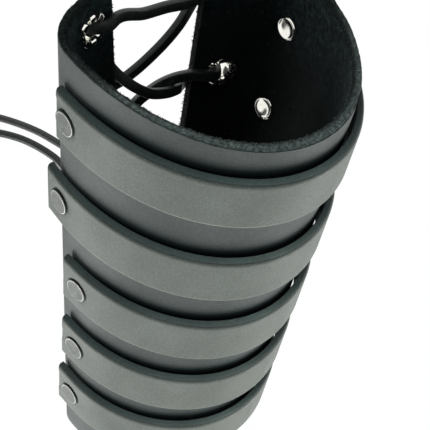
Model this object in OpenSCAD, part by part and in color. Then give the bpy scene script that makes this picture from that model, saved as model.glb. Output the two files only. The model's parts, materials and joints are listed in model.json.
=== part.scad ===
// Laced leather forearm gauntlet: a tapering leather body, open at the back,
// with five riveted leather bands round its front and a criss-cross lace.
// It stands on its wrist end. The front faces -Y and the laced gap faces +Y.

/* [Body] */
// Height of the body at the middle of its front
body_h = 196; // [170:1:240]
// Thickness of the leather of the body
leather_t = 3.3; // [2.4:0.1:4]
// Half the width at the elbow end, to the middle of the leather
elbow_half_w = 45; // [40:1:56]
// Half the width at the wrist end
wrist_half_w = 40; // [34:1:44]
// Depth of the front at the elbow end, from the widest line
elbow_front = 64; // [52:1:76]
// Depth of the front at the wrist end
wrist_front = 42; // [36:1:52]
// Depth of the flat back at the elbow end
elbow_back = 18; // [14:1:24]
// Depth of the flat back at the wrist end
wrist_back = 12; // [10:1:16]
// How squarely the sides bend into the flat back
back_square = 2.6; // [2.2:0.1:3.2]
// How much higher the elbow edge is at the back than at the front
edge_rise = 9.7; // [0:0.1:16]
// Rounding of the cut edges
edge_round = 0.6; // [0.2:0.1:1]
// How much the elbow edge slopes down from its inner to its outer side
edge_slope = 0.8; // [0:0.1:1.5]

/* [Laced gap] */
// Gap between the flaps at the elbow end
gap_elbow = 40; // [28:1:46]
// Gap between the flaps at the wrist end
gap_wrist = 12; // [8:1:20]

/* [Bands] */
// Width of each band
band_w = 21; // [17:1:24]
// Thickness of the leather of the bands
band_t = 2.8; // [2:0.1:4]
// From the elbow edge down to the first band
first_margin = 14; // [10:1:20]
// Step from the first band down to the second
step_1 = 40; // [31:1:44]
// Step from the second band down to the third
step_2 = 37; // [31:1:44]
// Step from the third band down to the fourth
step_3 = 36; // [31:1:44]
// Step from the fourth band down to the fifth
step_4 = 34; // [31:1:40]
// Where each band's rivets sit, as an angle from the middle of the front
rivet_angles = [87, 91, 81, 82, 85]; // [76:1:92]
// How much higher the bands sit at the front than at their rivets
band_arch = 2; // [0:0.1:4]
// Strap left past each rivet
strap_tail = 7.5; // [6:0.5:10]
// Rounding of the bands' upper outer edges
band_round = 1.3; // [0.6:0.1:1.6]
// How far the bands stand off the body at the front, besides their running gap
band_lift = 1.1; // [0.9:0.1:2.5]

/* [Rivets] */
// Diameter of the outer caps
cap_d = 9.6; // [8:0.1:11]
// Height of the outer caps
cap_h = 1.4; // [1.2:0.1:3]
// Diameter of the inner caps
inner_cap_d = 9; // [7:0.1:10]
// Height of the inner caps
inner_cap_h = 2; // [1.5:0.1:3]
// Diameter of the posts
post_d = 3.2; // [2:0.1:4]

/* [Eyelets] */
// Diameter of the hole that the lace goes through
eyelet_bore = 7; // [6:0.1:8]
// Diameter of the flange on the outside
flange_d = 12.4; // [11.5:0.1:14]
// Height of the flange
flange_h = 1.2; // [0.8:0.1:1.6]
// Thickness of the eyelet metal
metal_t = 0.45; // [0.3:0.05:0.6]
// Petals that each barrel is split into inside
petal_count = 8; // [6:1:10]
// How far the petals turn up from the leather
petal_tilt = 20; // [10:1:35]
// Height of the first eyelet below the elbow edge
eyelet_margin = 11.5; // [9:0.5:16]
// Step from each eyelet to the next
eyelet_step = 41; // [34:1:42]
// Eyelet row's distance from the flap edge at the elbow end
setback_elbow = 10; // [9:0.5:12]
// Eyelet row's distance from the flap edge at the wrist end
setback_wrist = 16; // [12:0.5:17]

/* [Lace] */
// Diameter of the round that the square lace fills
lace_d = 3.4; // [2.6:0.1:3.6]
// How far the drawn lace lies off the middle of each eyelet, towards the gap
lace_pull = 0.6; // [0:0.1:0.8]

/* [Fits] */
// Gap between a band and the body at the rivets, and under the outer caps
band_run = 0.25; // [0.2:0.05:0.4]
// Clearance round the posts and the eyelet barrels
hole_clear = 0.05; // [0.03:0.01:0.1]
// Gap between the lace and what it passes
lace_clear = 0.2; // [0.1:0.05:0.3]

/* [Hidden] */
$fn = 48;
REPEATED = ["lame_", "rivet_left_", "rivet_right_", "rivet_cap_left_", "rivet_cap_right_",
    "eyelet_left_", "eyelet_right_"];

LEFT = -1;
RIGHT = 1;
OUTSIDE = 1;
INSIDE = -1;
half_t = leather_t / 2;
body_levels = 8;
body_stations = 60;
band_stations = 40;
tail_stations = 2;
lace_sides = 8;
body_colour = [0.2, 0.21, 0.21];
band_colour = [0.33, 0.34, 0.33];
dark_metal = [0.25, 0.26, 0.26];
nickel = [0.85, 0.85, 0.82];
lace_colour = [0.08, 0.09, 0.09];

// Section of the body at height h: an elliptical front and a squarer, shallow back.
// The angle t runs from 0 at the front to 180 at the middle of the back.
function mix(a, b, k) = a + (b - a) * k;
function half_w(h) = mix(wrist_half_w, elbow_half_w, h / body_h);
function front(h) = mix(wrist_front, elbow_front, h / body_h);
function back(h) = mix(wrist_back, elbow_back, h / body_h);
function squared(v) = pow(v, 2 / back_square);
function outline(t, h) =
    cos(t) >= 0
    ? [half_w(h) * sin(t), -front(h) * cos(t)]
    : [sign(sin(t)) * half_w(h) * squared(abs(sin(t))), back(h) * squared(-cos(t))];
function out_from(t, h) =
    let (a = outline(t - 0.1, h), b = outline(t + 0.1, h), d = (b - a) / norm(b - a))
    [d[1], -d[0]];

// The cut edges run level round the wrist and rise towards the back at the elbow
function rise(t) = edge_rise * (1 - cos(t)) / 2;

// The middle of the base is midway between the first band and the first eyelet's flange
band_steps = [0, step_1, step_2, step_3, step_4];
function drop(k) = k == 0 ? 0 : band_steps[k] + drop(k - 1);
band_tops = [for (k = [0:4]) body_h - first_margin - drop(k)];
front_reach = front(band_tops[0] - band_round + band_arch) + half_t + band_run + band_lift + band_t;
back_reach =
    let (t = eyelet_t(0), h = eyelet_h(0), n = out_from(t, h))
    outline(t, h)[1] + n[1] * (half_t + hole_clear + flange_h / 2)
    + abs(n[0]) * (flange_d - flange_h) / 2 + flange_h / 2;
centre_y = (front_reach - back_reach) / 2;

// A point off the middle of the body's leather, at angle t and height h, off mm outwards
function skin(t, h, off) =
    let (p = outline(t, h), n = out_from(t, h))
    [p[0] + n[0] * off, p[1] + n[1] * off + centre_y, h + rise(t)];

// The flaps end where half the gap meets the back of the section
function gap(h) = mix(gap_wrist, gap_elbow, h / body_h);
function angle_at(x, h) = 180 - asin(pow(x / half_w(h), back_square / 2));
function flap_angle(h) = angle_at(gap(h) / 2, h);

// Rings of points along a strip are joined into one closed mesh
module joined_rings(rings) {
    n = len(rings[0]);
    m = len(rings);
    half = n / 2;
    sides = [for (i = [0:m - 2], j = [0:n - 1])
        let (a = i * n + j, b = i * n + (j + 1) % n) each [[a, b, a + n], [b, b + n, a + n]]];
    ladder = [for (j = [0:half - 2])
        let (a = j, b = j + 1, c = n - 2 - j, d = n - 1 - j) each [[a, c, b], [a, d, c]]];
    far = [for (f = ladder) [for (v = [2:-1:0]) f[v] + (m - 1) * n]];
    polyhedron(points = [for (r = rings) each r], faces = concat(sides, ladder, far));
}

// Body leather: stations from flap to flap, each with its outer face, edge and inner face
function body_point(s, v, off, down) =
    let (t = s * flap_angle(v * body_h), z = v * (body_h + rise(t)) - down)
    skin(t, z - rise(t), off);
function body_ring(s) = concat(
    [for (j = [0:body_levels - 1]) body_point(s, j / body_levels, half_t, 0)],
    [body_point(s, 1, half_t, edge_round + edge_slope)],
    [body_point(s, 1, half_t - edge_round, edge_slope)],
    [body_point(s, 1, edge_round - half_t, 0), body_point(s, 1, -half_t, edge_round)],
    [for (j = [body_levels - 1:-1:0]) body_point(s, j / body_levels, -half_t, 0)]);

module body_shell() {
    color(body_colour) difference() {
        joined_rings([for (i = [0:body_stations]) body_ring(2 * i / body_stations - 1)]);
        for (side = [LEFT, RIGHT], k = [0:4]) {
            at_rivet(side, k) hole(post_d / 2 + hole_clear);
            at_rivet(side, k) pressed_flat();
            at_eyelet(side, k) hole(barrel_r + hole_clear);
        }
    }
}

module hole(r) {
    translate([0, 0, -leather_t]) cylinder(r = r, h = 2 * leather_t + band_lift + band_t);
}

// Each inner cap has pressed the leather flat under it
module pressed_flat() {
    translate([0, 0, -half_t - leather_t])
        cylinder(r = inner_cap_d / 2 + hole_clear, h = leather_t);
}

// Bands: each follows the body at a small distance and runs on straight past its rivets
function stand_off(t) = half_t + band_run + band_lift * max(cos(t), 0);
function band_point(k, s, tail, up, off) =
    let (t = s * rivet_angles[k], h = band_tops[k] - band_w + up + band_arch * max(cos(t), 0))
    let (p = skin(t, h, stand_off(t) + off))
    tail == 0 ? p
    : let (before = skin(t - s, h, stand_off(t) + off)) p + tail * (p - before) / norm(p - before);
function band_ring(k, s, tail) = concat(
    [band_point(k, s, tail, 0, band_t - edge_round), band_point(k, s, tail, edge_round, band_t)],
    [for (a = [0:30:90])
        let (up = band_w - band_round * (1 - sin(a)), off = band_t - band_round * (1 - cos(a)))
        band_point(k, s, tail, up, off)],
    [band_point(k, s, tail, band_w, edge_round), band_point(k, s, tail, band_w - edge_round, 0)],
    [band_point(k, s, tail, edge_round, 0), band_point(k, s, tail, 0, edge_round)]);

module lame(k) {
    left_tail = [for (i = [tail_stations:-1:1]) band_ring(k, -1, strap_tail * i / tail_stations)];
    round_front = [for (i = [0:band_stations]) band_ring(k, 2 * i / band_stations - 1, 0)];
    right_tail = [for (i = [1:tail_stations]) band_ring(k, 1, strap_tail * i / tail_stations)];
    color(band_colour) difference() {
        joined_rings(concat(left_tail, round_front, right_tail));
        for (side = [LEFT, RIGHT]) at_rivet(side, k) hole(post_d / 2 + hole_clear);
    }
}

// Fittings sit square on the leather: their own Z points straight out of it
function lean(t, h) =
    let (n = out_from(t, h), d = outline(t, h + 1) - outline(t, h - 1))
    atan((n[0] * d[0] + n[1] * d[1]) / 2);
module on_skin(t, h) {
    n = out_from(t, h);
    translate(skin(t, h, 0)) rotate([0, 90 + lean(t, h), atan2(n[1], n[0])]) children();
}
module at_rivet(side, k) {
    on_skin(side * rivet_angles[k], band_tops[k] - band_w / 2) children();
}
function eyelet_h(k) = body_h - eyelet_margin - k * eyelet_step;
function eyelet_x(h) = gap(h) / 2 + mix(setback_wrist, setback_elbow, h / body_h);
function eyelet_t(k, nearer = 0) = angle_at(eyelet_x(eyelet_h(k)) - nearer, eyelet_h(k));
module at_eyelet(side, k) {
    on_skin(side * eyelet_t(k), eyelet_h(k)) children();
}

// Rivets: a dished outer cap on a post, and a domed inner cap pressed on the post
cap_seat = half_t + band_run + band_t + band_run;
cap_dish = 0.35;
inner_seat = -half_t - hole_clear;
inner_foot = inner_cap_d / 3;
inner_round = inner_cap_h * 0.45;
inner_lift = inner_round * 0.1;
post_reach = inner_cap_h * 0.6;
function arc(cx, cy, r, from, to) =
    [for (i = [0:6]) [cx + r * cos(mix(from, to, i / 6)), cy + r * sin(mix(from, to, i / 6))]];

module rivet(side, k) {
    seat = cap_seat + band_lift * max(cos(rivet_angles[k]), 0);
    r = cap_h / 2;
    rim = arc(cap_d / 2 - r, r, r, -90, 120);
    color(dark_metal) at_rivet(side, k) {
        translate([0, 0, seat]) rotate_extrude()
            polygon(concat([[0, 0]], rim, [[0, cap_h - cap_dish]]));
        translate([0, 0, inner_seat - post_reach])
            cylinder(d = post_d, h = seat - inner_seat + post_reach);
    }
}

module rivet_cap(side, k) {
    rim = arc(inner_cap_d / 2 - inner_round, inner_round + inner_lift - inner_cap_h, inner_round, 90, -60);
    color(nickel) at_rivet(side, k) translate([0, 0, inner_seat]) difference() {
        rotate_extrude() polygon(concat([[0, 0], [inner_foot, 0]], rim, [[0, -inner_cap_h]]));
        translate([0, 0, -post_reach - hole_clear])
            cylinder(r = post_d / 2 + hole_clear, h = inner_cap_h);
    }
}

// Eyelets: a rolled flange outside, a barrel, and petals splayed over the inside
barrel_r = eyelet_bore / 2 + metal_t;
mouth_round = metal_t + 1;
flange_top = half_t + hole_clear + flange_h;
petal_reach = (flange_d / 2 - barrel_r + metal_t) / cos(petal_tilt);
petal_root = 0.9 * 2 * PI * barrel_r / petal_count;
barrel_end = -half_t - metal_t;

module petal() {
    outline = [[0, -petal_root / 2], [petal_reach * 0.55, -petal_root * 0.42],
        [petal_reach * 0.9, -petal_root * 0.24], [petal_reach, 0],
        [petal_reach * 0.9, petal_root * 0.24], [petal_reach * 0.55, petal_root * 0.42],
        [0, petal_root / 2]];
    translate([barrel_r - metal_t, 0, barrel_end]) rotate([0, petal_tilt, 0])
        translate([0, 0, -metal_t * 0.7]) linear_extrude(metal_t) polygon(outline);
}

module eyelet(side, k) {
    rolled = arc((flange_d - flange_h) / 2, flange_top - flange_h / 2, flange_h / 2, -90, 90);
    lip = arc(eyelet_bore / 2 + mouth_round, flange_top - mouth_round, mouth_round, 90, 180);
    color(nickel) at_eyelet(side, k) {
        rotate_extrude() polygon(concat([[barrel_r, barrel_end], [barrel_r, flange_top - flange_h]],
            rolled, lip, [[eyelet_bore / 2, barrel_end]]));
        for (p = [1:petal_count]) rotate([0, 0, 360 * p / petal_count]) petal();
    }
}

// Lace: it enters and leaves each eyelet square to the leather. The order is from the left
// free end, up one side of the crossings, over the bar at the top and down the other side.
lace_r = lace_d / 2;
rim_spare = 0.6;
turn_rise = 0.8;
turn_run = 3.4;
turn_dip = 0.2;
free_rise = 4;
free_lead = 7;
face_off = half_t + flange_h + lace_r + lace_clear + rim_spare;
bend_off = half_t + turn_rise;
PASSES = [[LEFT, 4], [RIGHT, 3], [LEFT, 2], [RIGHT, 1], [LEFT, 0],
    [RIGHT, 0], [LEFT, 1], [RIGHT, 2], [LEFT, 3], [RIGHT, 4]];
function pass_t(i) = PASSES[i][0] * eyelet_t(PASSES[i][1], lace_pull);
function pass_h(i) = eyelet_h(PASSES[i][1]);
function pass_at(i, off) = skin(pass_t(i), pass_h(i), off);
function arrives(i) = i % 2 == 0 ? OUTSIDE : INSIDE;

// Each crossing strand: share of the way, how much it sags or arches, how much it stands off
STRANDS = [
    [[0.15, 1, 0], [0.3, 3, -1], [0.5, 4, 3.2], [0.7, 3, -1], [0.85, 1, 0]],
    [[0.15, -1, 0], [0.3, -2, -1], [0.5, -3, -1], [0.7, -2, -1], [0.85, -1, 0]],
    [[0.1, 11, 0], [0.2, 20, -1.2], [0.35, 23, -6], [0.48, 18.5, -7.6], [0.6, 14.8, -7.8],
     [0.68, 14.3, -5.2], [0.75, 13.2, -2.3], [0.85, 8.5, -0.1]],
    [[0.09, -9.5, 0.5], [0.18, -15.7, -0.8], [0.3, -16, -6.8], [0.45, -18.2, -9.8],
     [0.56, -19.7, -10], [0.65, -19.5, -8.6], [0.74, -17.8, -4.6], [0.82, -13, -0.3], [0.9, -7, 0.8]],
    [[0.15, 2.3, 0], [0.35, -1, 0], [0.5, -2, 0], [0.65, -3.5, 0], [0.85, -2, 0]],
    [[0.15, -5, -0.5], [0.3, -7, -3], [0.5, -8, -3], [0.7, -6, -2], [0.87, -2, 0]],
    [[0.15, 4, 1], [0.28, 7, 3], [0.45, 9, 1], [0.65, 8, -1], [0.85, 3, 0]],
    [[0.15, -1, 0], [0.3, -2, 0], [0.5, -3, 3.2], [0.7, -2, 0], [0.85, -1, 0]],
    [[0.15, 1, 0], [0.3, 2, -1], [0.5, 3, -1], [0.7, 2, -1], [0.85, 1, 0]]];
function strand_point(i, spot) =
    let (a = pass_at(i, 0), b = pass_at(i + 1, 0), p = mix(a, b, spot[0]))
    let (h = p[2] - rise(pass_t(i)), t = (p[0] < 0 ? -1 : 1) * angle_at(abs(p[0]), h))
    let (y = skin(t, h, -arrives(i) * (face_off + spot[2]))[1])
    [p[0], y, p[2] + spot[1]];
function strand(i) = [for (spot = STRANDS[i]) strand_point(i, spot)];
function turn(i, side, next) =
    let (towards = next - pass_at(i, side * face_off), d = towards / norm(towards))
    [pass_at(i, side * bend_off) + d * turn_rise,
     pass_at(i, side * (face_off - turn_dip)) + d * turn_run];
function backwards(list) = [for (i = [len(list) - 1:-1:0]) list[i]];
function passing(i) = concat(
    i == 0 ? free_start(0) : backwards(turn(i, arrives(i), strand(i - 1)[len(STRANDS[i - 1]) - 1])),
    i == 9 ? backwards(free_start(9)) : turn(i, -arrives(i), strand(i)[0]));
function free_start(i) = [pass_at(i, half_t + free_rise), pass_at(i, bend_off)];
lace_route = [for (i = [0:9]) each concat(passing(i), i < 9 ? strand(i) : [])];

// Free ends: out of the last eyelets, down to the table and away behind, chosen by hand
floor_z = lace_r + 0.05;
END_LEFT = [[-22, 50, 26], [-18, 58, 18], [-11, 68, 9], [-2, 80, 4], [8, 92, floor_z],
    [17, 104, floor_z], [25, 117, floor_z], [31, 130, floor_z], [35, 142, floor_z],
    [36.5, 154, floor_z], [34, 166, floor_z], [29, 177.5, floor_z], [22.5, 186, floor_z],
    [13, 194, floor_z], [3, 201, floor_z], [-8, 206, floor_z], [-20, 209, floor_z],
    [-32, 210, floor_z]];
END_RIGHT = [[30, 47, 26], [32, 57, 18], [35, 70, 9], [39, 83, 4], [43, 96, floor_z],
    [46, 109, floor_z], [48, 123, floor_z], [48.5, 138, floor_z], [46.5, 152, floor_z],
    [42.5, 167, floor_z], [39.5, 176, floor_z], [34.5, 186, floor_z], [28.5, 195, floor_z],
    [20, 204, floor_z], [11, 211, floor_z], [0, 217, floor_z], [-12, 221, floor_z],
    [-24, 223, floor_z]];
function end_route(i, chosen) =
    concat([pass_at(i, half_t + free_rise), pass_at(i, half_t + free_lead)], chosen);

// A round tube along a route, its rings carried along without twist
function heading(route, i) =
    let (a = route[max(i - 1, 0)], b = route[min(i + 1, len(route) - 1)]) (b - a) / norm(b - a);
function side_of(d, last) = let (s = last - d * (d * last)) s / norm(s);
function carried(route, i, last) =
    let (s = side_of(heading(route, i), last))
    i == len(route) - 1 ? [s] : concat([s], carried(route, i + 1, s));
function ring_at(p, d, s, r) =
    [for (k = [0:lace_sides - 1])
        let (a = 360 * k / lace_sides) p + r * (cos(a) * s + sin(a) * cross(d, s))];
module tube(route, r) {
    sides = carried(route, 0, [0.1, 0.2, 1]);
    joined_rings([for (i = [0:len(route) - 1])
        ring_at(route[i], -heading(route, i), sides[i], r)]);
}
function way(route, i) = i == 0 ? 0 : norm(route[i] - route[i - 1]) + way(route, i - 1);
echo(lace_crossing_mm = way(lace_route, len(lace_route) - 1));
echo(lace_end_left_mm = way(end_route(0, END_LEFT), len(END_LEFT) + 1));
echo(lace_end_right_mm = way(end_route(9, END_RIGHT), len(END_RIGHT) + 1));

module lace_crossing() {
    color(lace_colour) tube(lace_route, lace_r);
}
module lace_end_left() {
    color(lace_colour) tube(end_route(0, END_LEFT), lace_r);
}
module lace_end_right() {
    color(lace_colour) tube(end_route(9, END_RIGHT), lace_r);
}

// Each band swings about a line through the middle of its own leather at the two rivets
for (k = [0:4])
    let (t = rivet_angles[k], h = band_tops[k] - band_w / 2)
    echo(hinge = k + 1, mm = skin(t, h, stand_off(t) + band_t / 2));

body_shell();
for (k = [1:5]) {
    lame(k - 1);
    rivet(LEFT, k - 1);
    rivet(RIGHT, k - 1);
    rivet_cap(LEFT, k - 1);
    rivet_cap(RIGHT, k - 1);
    eyelet(LEFT, k - 1);
    eyelet(RIGHT, k - 1);
}
lace_crossing();
lace_end_left();
lace_end_right();
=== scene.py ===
# %% [markdown]
# # A laced leather gauntlet
# The real object is a sheet of stiff black leather bent into a tapering sleeve that is open at the
# back. Five leather bands are riveted round its front, and one lace draws the back together
# through ten metal eyelets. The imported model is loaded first, because every piece made here
# has to lie where its solid lies and move with the body that it belongs to.

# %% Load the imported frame
import json
import math
import random

import bmesh
import bpy
import numpy as np
from mathutils import Matrix, Vector

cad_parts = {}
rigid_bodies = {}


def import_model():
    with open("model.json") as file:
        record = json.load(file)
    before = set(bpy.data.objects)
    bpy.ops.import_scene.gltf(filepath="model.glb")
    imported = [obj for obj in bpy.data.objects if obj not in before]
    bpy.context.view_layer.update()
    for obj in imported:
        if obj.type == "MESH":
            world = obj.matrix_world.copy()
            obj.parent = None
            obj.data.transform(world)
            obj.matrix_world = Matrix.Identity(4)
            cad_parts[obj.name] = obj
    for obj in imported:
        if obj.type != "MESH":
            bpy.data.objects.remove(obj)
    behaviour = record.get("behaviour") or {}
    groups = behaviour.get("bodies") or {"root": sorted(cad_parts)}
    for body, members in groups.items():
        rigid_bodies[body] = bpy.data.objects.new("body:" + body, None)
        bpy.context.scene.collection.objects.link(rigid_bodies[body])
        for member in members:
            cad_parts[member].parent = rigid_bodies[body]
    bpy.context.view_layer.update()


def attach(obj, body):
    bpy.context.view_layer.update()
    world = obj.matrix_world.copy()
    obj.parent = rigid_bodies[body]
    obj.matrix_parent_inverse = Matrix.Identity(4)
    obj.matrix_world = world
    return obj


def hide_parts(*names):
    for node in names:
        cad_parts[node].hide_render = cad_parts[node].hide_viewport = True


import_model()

MM = 0.001

# %% [markdown]
# ## The camera
# The photograph looks down into the elbow end from the front left, a little rolled. The place and
# the lens were found by fitting the rims, the bands and the rivets. The lens shift only moves the
# picture sideways, because the photograph was cropped off its middle.

# %% Set the camera
PICTURE = 430
FOCAL_PIXELS = 1315.1
MIDDLE_PIXEL = (240.3, 235.0)
CAMERA_PLACE = Vector((-217.1, -229.74, 460.6)) * MM
CAMERA_AZIMUTH = math.radians(-45.186)
CAMERA_ELEVATION = math.radians(47.411)
CAMERA_ROLL = math.radians(9.394)
SENSOR_W = 36


def camera_turn(azimuth, elevation, roll):
    """A camera at azimuth 0 stands in front, and one at 90 on the gauntlet's right."""
    back = Vector((
        math.cos(elevation) * math.sin(azimuth),
        -math.cos(elevation) * math.cos(azimuth),
        math.sin(elevation),
    ))
    level = Vector((0, 0, 1)).cross(back).normalized()
    upright = back.cross(level)
    right = level * math.cos(roll) + upright * math.sin(roll)
    up = upright * math.cos(roll) - level * math.sin(roll)
    return Matrix((right, up, back)).transposed().to_4x4()


bpy.ops.object.select_all(action="DESELECT")
bpy.ops.object.camera_add()
camera = bpy.context.object
camera.name = "camera"
camera.matrix_world = Matrix.Translation(CAMERA_PLACE) @ camera_turn(
    CAMERA_AZIMUTH, CAMERA_ELEVATION, CAMERA_ROLL
)
camera.data.sensor_width = SENSOR_W
camera.data.lens = FOCAL_PIXELS / PICTURE * SENSOR_W
camera.data.shift_x = 0.5 - MIDDLE_PIXEL[0] / PICTURE
camera.data.shift_y = MIDDLE_PIXEL[1] / PICTURE - 0.5
bpy.context.scene.camera = camera
bpy.context.scene.view_settings.view_transform = "Standard"
print("lens in mm:", round(camera.data.lens, 1))

# %% [markdown]
# ## The shape that the leather follows
# Sheet leather bends round one way and stays straight the other way, so the sleeve is a section
# that grows evenly from the wrist to the elbow. The front of the section is half an ellipse and
# the back is flatter, with square shoulders. One rule gives any point of the sleeve, and the
# body, the bands, the rivets, the eyelets and the lace all take their place from it. All sizes
# are in mm, turns are in degrees from the middle of the front, and a pair has the value at the
# wrist and the one at the elbow. The section's middle lies CENTRE_Y behind the origin, which is
# the middle of the base of the solids.

# %% The section of the sleeve
BODY_H = 196
LEATHER = 3.3
HALF_LEATHER = LEATHER / 2
HALF_W = (40, 45)
FRONT = (42, 64)
BACK = (12, 18)
BACK_SQUARE = 2.6
EDGE_RISE = 9.7
CENTRE_Y = 24.5101
SMALL_TURN = 0.1


def between(pair, share):
    return pair[0] + (pair[1] - pair[0]) * share


def outline(turn, h):
    s = math.sin(math.radians(turn))
    c = math.cos(math.radians(turn))
    up = h / BODY_H
    if c >= 0:
        return np.array((between(HALF_W, up) * s, -between(FRONT, up) * c))
    square = 2 / BACK_SQUARE
    side = math.copysign(abs(s) ** square, s)
    return np.array((between(HALF_W, up) * side, between(BACK, up) * (-c) ** square))


def outwards(turn, h):
    way = outline(turn + SMALL_TURN, h) - outline(turn - SMALL_TURN, h)
    return np.array((way[1], -way[0])) / np.linalg.norm(way)


def rise(turn):
    return EDGE_RISE * (1 - math.cos(math.radians(turn))) / 2


def skin(turn, h, off):
    """A point off mm outside the middle of the body's leather."""
    x, y = outline(turn, h) + outwards(turn, h) * off
    return np.array((x, y + CENTRE_Y, h + rise(turn)))


print("front of the elbow edge:", skin(0, BODY_H, 0).round(1))

# %% Where the laced gap, the bands, the rivets and the eyelets are
GAP = (12, 40)
BAND_W = 21
BAND_T = 2.8
BAND_ARCH = 2
BAND_TOPS = (182, 142, 105, 69, 35)
RIVET_TURNS = (87, 91, 81, 82, 85)
BAND_RUN = 0.25
BAND_LIFT = 1.1
EYELET_TOP = 11.5
EYELET_STEP = 41
EYELET_SETBACK = (16, 10)
FLANGE_H = 1.2
HOLE_CLEAR = 0.05
SIDES = {"left": -1, "right": 1}
ROWS = range(5)


def turn_at(x, h):
    """The turn of the place on the back that lies x to the side of the middle."""
    return 180 - math.degrees(math.asin((x / between(HALF_W, h / BODY_H)) ** (BACK_SQUARE / 2)))


def flap_turn(h):
    return turn_at(between(GAP, h / BODY_H) / 2, h)


def eyelet_h(k):
    return BODY_H - EYELET_TOP - k * EYELET_STEP


def eyelet_turn(k, nearer=0):
    h = eyelet_h(k)
    return turn_at(between(GAP, h / BODY_H) / 2 + between(EYELET_SETBACK, h / BODY_H) - nearer, h)


def facing(turn):
    """How squarely a place faces the front: 1 at the middle of the front, 0 from the sides on."""
    return max(math.cos(math.radians(turn)), 0)


def stand_off(turn):
    """How far the inner side of a band lies from the middle of the body's leather."""
    return HALF_LEATHER + BAND_RUN + BAND_LIFT * facing(turn)


print("eyelets sit at turns of", [round(eyelet_turn(k), 1) for k in ROWS])

# %% [markdown]
# ## The lace
# A cut leather lace is a long square-edged strip. It goes up one side of the gap and down the
# other, in and out of every eyelet, and its two ends trail over the table behind. Its route is a
# list of points, the same ones that its solid follows. A smooth line is drawn through them, and a
# rounded rectangle is swept along it, ring by ring, because its flat has to turn where it twists.

# %% The route of the lace
LACE_D = 3.4
LACE_PULL = 0.6
LACE_CLEAR = 0.2
RIM_SPARE = 0.6
TURN_RISE = 0.8
TURN_RUN = 3.4
TURN_DIP = 0.2
FREE_RISE = 4
FREE_LEAD = 7
FACE_OFF = HALF_LEATHER + FLANGE_H + LACE_D / 2 + LACE_CLEAR + RIM_SPARE
BEND_OFF = HALF_LEATHER + TURN_RISE
PASSES = ((-1, 4), (1, 3), (-1, 2), (1, 1), (-1, 0), (1, 0), (-1, 1), (1, 2), (-1, 3), (1, 4))
STRANDS = (
    ((0.15, 1, 0), (0.3, 3, -1), (0.5, 4, 3.2), (0.7, 3, -1), (0.85, 1, 0)),
    ((0.15, -1, 0), (0.3, -2, -1), (0.5, -3, -1), (0.7, -2, -1), (0.85, -1, 0)),
    ((0.1, 11, 0), (0.2, 20, -1.2), (0.35, 23, -6), (0.48, 18.5, -7.6), (0.6, 14.8, -7.8),
     (0.68, 14.3, -5.2), (0.75, 13.2, -2.3), (0.85, 8.5, -0.1)),
    ((0.09, -9.5, 0.5), (0.18, -15.7, -0.8), (0.3, -16, -6.8), (0.45, -18.2, -9.8),
     (0.56, -19.7, -10), (0.65, -19.5, -8.6), (0.74, -17.8, -4.6), (0.82, -13, -0.3), (0.9, -7, 0.8)),
    ((0.15, 2.3, 0), (0.35, -1, 0), (0.5, -2, 0), (0.65, -3.5, 0), (0.85, -2, 0)),
    ((0.15, -5, -0.5), (0.3, -7, -3), (0.5, -8, -3), (0.7, -6, -2), (0.87, -2, 0)),
    ((0.15, 4, 1), (0.28, 7, 3), (0.45, 9, 1), (0.65, 8, -1), (0.85, 3, 0)),
    ((0.15, -1, 0), (0.3, -2, 0), (0.5, -3, 3.2), (0.7, -2, 0), (0.85, -1, 0)),
    ((0.15, 1, 0), (0.3, 2, -1), (0.5, 3, -1), (0.7, 2, -1), (0.85, 1, 0)),
)


def unit(v):
    return v / np.linalg.norm(v)


def length_of(points):
    return sum(np.linalg.norm(b - a) for a, b in zip(points, points[1:]))


def pass_turn(i):
    side, k = PASSES[i]
    return side * eyelet_turn(k, LACE_PULL)


def passed(i, off):
    return skin(pass_turn(i), eyelet_h(PASSES[i][1]), off)


def side_in(i):
    """The side from which the lace comes to a pass: 1 is outside the leather, -1 inside."""
    return 1 if i % 2 == 0 else -1


def strand(i):
    """Each point of STRANDS has its share of the way, its lift and how much it stands off."""
    a = passed(i, 0)
    b = passed(i + 1, 0)
    points = []
    for share, lift, off in STRANDS[i]:
        p = a + (b - a) * share
        h = p[2] - rise(pass_turn(i))
        turn = (-1 if p[0] < 0 else 1) * turn_at(abs(p[0]), h)
        y = skin(turn, h, -side_in(i) * (FACE_OFF + off))[1]
        points.append(np.array((p[0], y, p[2] + lift)))
    return points


def turn_out(i, side, towards):
    """The two points where the lace bends out of an eyelet's mouth towards the next strand."""
    d = unit(towards - passed(i, side * FACE_OFF))
    return [
        passed(i, side * BEND_OFF) + d * TURN_RISE,
        passed(i, side * (FACE_OFF - TURN_DIP)) + d * TURN_RUN,
    ]


def lace_route():
    last = len(PASSES) - 1
    points = [passed(0, HALF_LEATHER + FREE_RISE), passed(0, BEND_OFF)]
    for i in range(len(PASSES)):
        if i > 0:
            points += turn_out(i, side_in(i), strand(i - 1)[-1])[::-1]
        if i < last:
            points += turn_out(i, -side_in(i), strand(i)[0])
            points += strand(i)
    return points + [passed(last, BEND_OFF), passed(last, HALF_LEATHER + FREE_RISE)]


ROUTE = lace_route()
print("the crossings have", len(ROUTE), "points and", round(length_of(ROUTE)), "mm")

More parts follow.
